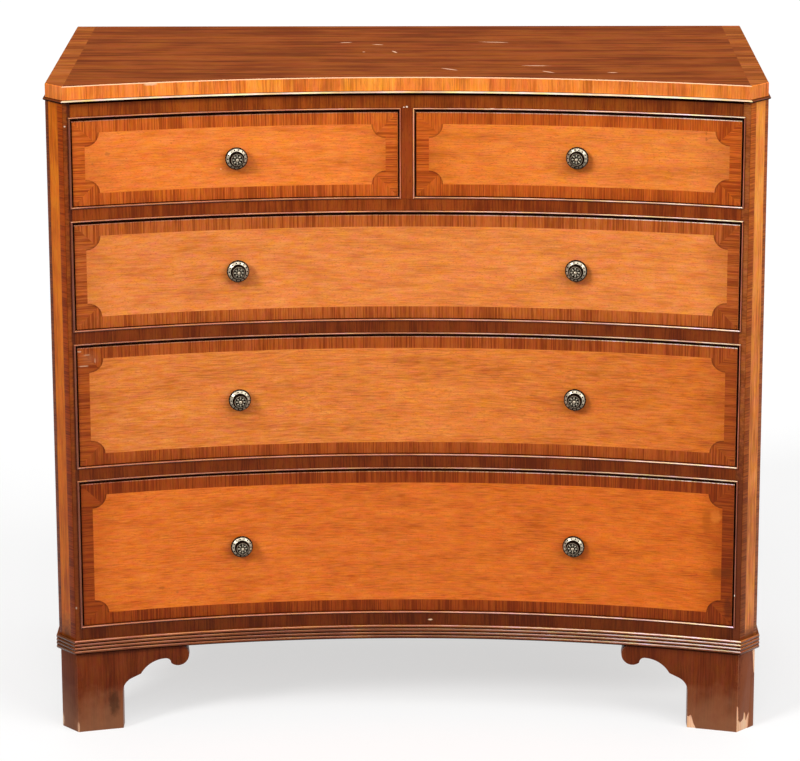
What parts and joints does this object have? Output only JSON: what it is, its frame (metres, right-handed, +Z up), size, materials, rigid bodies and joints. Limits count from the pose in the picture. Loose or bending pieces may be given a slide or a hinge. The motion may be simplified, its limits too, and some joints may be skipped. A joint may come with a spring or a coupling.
{
  "type": "reverse bow front chest of drawers",
  "caption": "Inward-curved chest of drawers with canted corners, short and long veneered drawers that slide on runners, ringed brass knobs and scrolled bracket feet.",
  "frame": {"origin": "on the floor under the middle of the whole chest", "axes": "+X across the chest to the right as seen from the front, +Y from the front to the back, +Z up"},
  "size_m": [0.9242, 0.4794, 0.8618],
  "materials": {
    "mahogany": "French polished mahogany",
    "satinwood": "French polished satinwood",
    "bead": "polished mahogany beading",
    "boxwood": "polished boxwood beading",
    "pine": "bare planed pine",
    "brass": "antique brass, darkened in the hollows"
  },
  "bodies": {
    "carcass": {"top_board": "mahogany", "top_bead_moulding": "boxwood", "left_side": "mahogany", "right_side": "mahogany", "back_panel": "pine", "left_corner_stile": "mahogany", "right_corner_stile": "mahogany", "top_rail": "mahogany", "upper_rail": "mahogany", "middle_rail": "mahogany", "lower_rail": "mahogany", "bottom_rail": "mahogany", "centre_muntin": "mahogany", "short_left_cockbead": "bead", "short_right_cockbead": "bead", "second_cockbead": "bead", "third_cockbead": "bead", "bottom_cockbead": "bead", "plinth_moulding": "mahogany", "front_left_foot": "mahogany", "front_right_foot": "mahogany", "back_left_foot": "mahogany", "back_right_foot": "mahogany", "bottom_board": "pine", "lower_dustboard": "pine", "middle_dustboard": "pine", "upper_dustboard": "pine"},
    "short_left_drawer": {"short_left_drawer_front": "satinwood", "short_left_drawer_left_side": "pine", "short_left_drawer_right_side": "pine", "short_left_drawer_back": "pine", "short_left_drawer_bottom": "pine", "short_left_drawer_knob": "brass"},
    "short_right_drawer": {"short_right_drawer_front": "satinwood", "short_right_drawer_left_side": "pine", "short_right_drawer_right_side": "pine", "short_right_drawer_back": "pine", "short_right_drawer_bottom": "pine", "short_right_drawer_knob": "brass"},
    "second_drawer": {"second_drawer_front": "satinwood", "second_drawer_left_side": "pine", "second_drawer_right_side": "pine", "second_drawer_back": "pine", "second_drawer_bottom": "pine", "second_drawer_left_knob": "brass", "second_drawer_right_knob": "brass"},
    "third_drawer": {"third_drawer_front": "satinwood", "third_drawer_left_side": "pine", "third_drawer_right_side": "pine", "third_drawer_back": "pine", "third_drawer_bottom": "pine", "third_drawer_left_knob": "brass", "third_drawer_right_knob": "brass"},
    "bottom_drawer": {"bottom_drawer_front": "satinwood", "bottom_drawer_left_side": "pine", "bottom_drawer_right_side": "pine", "bottom_drawer_back": "pine", "bottom_drawer_bottom": "pine", "bottom_drawer_left_knob": "brass", "bottom_drawer_right_knob": "brass"}
  },
  "joints": [
    {"name": "short_left_drawer_slide", "type": "slide", "parent": "carcass", "child": "short_left_drawer", "axis": [0, -1, 0], "range_m": [0, 0.3]},
    {"name": "short_right_drawer_slide", "type": "slide", "parent": "carcass", "child": "short_right_drawer", "axis": [0, -1, 0], "range_m": [0, 0.3]},
    {"name": "second_drawer_slide", "type": "slide", "parent": "carcass", "child": "second_drawer", "axis": [0, -1, 0], "range_m": [0, 0.3]},
    {"name": "third_drawer_slide", "type": "slide", "parent": "carcass", "child": "third_drawer", "axis": [0, -1, 0], "range_m": [0, 0.3]},
    {"name": "bottom_drawer_slide", "type": "slide", "parent": "carcass", "child": "bottom_drawer", "axis": [0, -1, 0], "range_m": [0, 0.3]}
  ]
}
